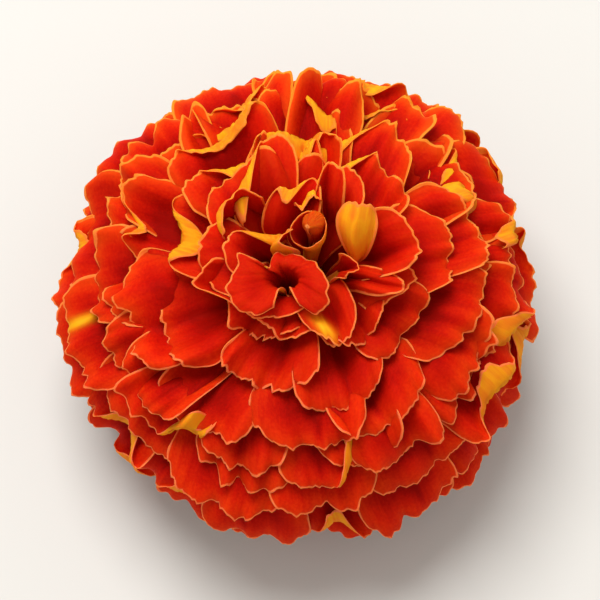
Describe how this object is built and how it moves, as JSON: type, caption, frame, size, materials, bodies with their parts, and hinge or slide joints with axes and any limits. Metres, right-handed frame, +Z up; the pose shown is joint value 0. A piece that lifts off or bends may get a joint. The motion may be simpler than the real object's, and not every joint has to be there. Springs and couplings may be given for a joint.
{
  "type": "marigold flower head",
  "caption": "Fully double French marigold head, orange-red with thin gold petal edges, picked with a short stem stub and standing face up.",
  "frame": {"origin": "middle of the head's bounding box in X and Y, at the surface that the stem stub and the skirt petals stand on", "axes": "+Z up out of the flower's face, along the stem stub; the picture looks from -Y and well above, so the frilled funnel floret is on the -Y side of the heart"},
  "size_m": [0.0686, 0.0682, 0.048],
  "materials": {
    "petal_orange_red": "matte",
    "calyx_green": "matte",
    "stem_green": "matte"
  },
  "bodies": {
    "root": {"calyx": "calyx_green", "funnel_floret": "petal_orange_red", "inner_petal_01": "petal_orange_red", "inner_petal_02": "petal_orange_red", "inner_petal_03": "petal_orange_red", "inner_petal_04": "petal_orange_red", "inner_petal_05": "petal_orange_red", "inner_petal_06": "petal_orange_red", "outer_petal_01": "petal_orange_red", "outer_petal_02": "petal_orange_red", "outer_petal_03": "petal_orange_red", "outer_petal_04": "petal_orange_red", "outer_petal_05": "petal_orange_red", "outer_petal_06": "petal_orange_red", "outer_petal_07": "petal_orange_red", "outer_petal_08": "petal_orange_red", "outer_petal_09": "petal_orange_red", "outer_petal_10": "petal_orange_red", "outer_petal_11": "petal_orange_red", "outer_petal_12": "petal_orange_red", "outer_petal_13": "petal_orange_red", "outer_petal_14": "petal_orange_red", "rolled_floret": "petal_orange_red", "shoulder_petal_01": "petal_orange_red", "shoulder_petal_02": "petal_orange_red", "shoulder_petal_03": "petal_orange_red", "shoulder_petal_04": "petal_orange_red", "shoulder_petal_05": "petal_orange_red", "shoulder_petal_06": "petal_orange_red", "shoulder_petal_07": "petal_orange_red", "shoulder_petal_08": "petal_orange_red", "shoulder_petal_09": "petal_orange_red", "shoulder_petal_10": "petal_orange_red", "shoulder_petal_11": "petal_orange_red", "shoulder_petal_12": "petal_orange_red", "shoulder_petal_13": "petal_orange_red", "skirt_petal_01": "petal_orange_red", "skirt_petal_02": "petal_orange_red", "skirt_petal_03": "petal_orange_red", "skirt_petal_04": "petal_orange_red", "skirt_petal_05": "petal_orange_red", "skirt_petal_06": "petal_orange_red", "skirt_petal_07": "petal_orange_red", "skirt_petal_08": "petal_orange_red", "skirt_petal_09": "petal_orange_red", "skirt_petal_10": "petal_orange_red", "skirt_petal_11": "petal_orange_red", "skirt_petal_12": "petal_orange_red", "stem_stub": "stem_green", "upper_petal_01": "petal_orange_red", "upper_petal_02": "petal_orange_red", "upper_petal_03": "petal_orange_red", "upper_petal_04": "petal_orange_red", "upper_petal_05": "petal_orange_red", "upper_petal_06": "petal_orange_red", "upper_petal_07": "petal_orange_red", "upper_petal_08": "petal_orange_red", "upper_petal_09": "petal_orange_red", "upper_petal_10": "petal_orange_red"}
  },
  "joints": []
}
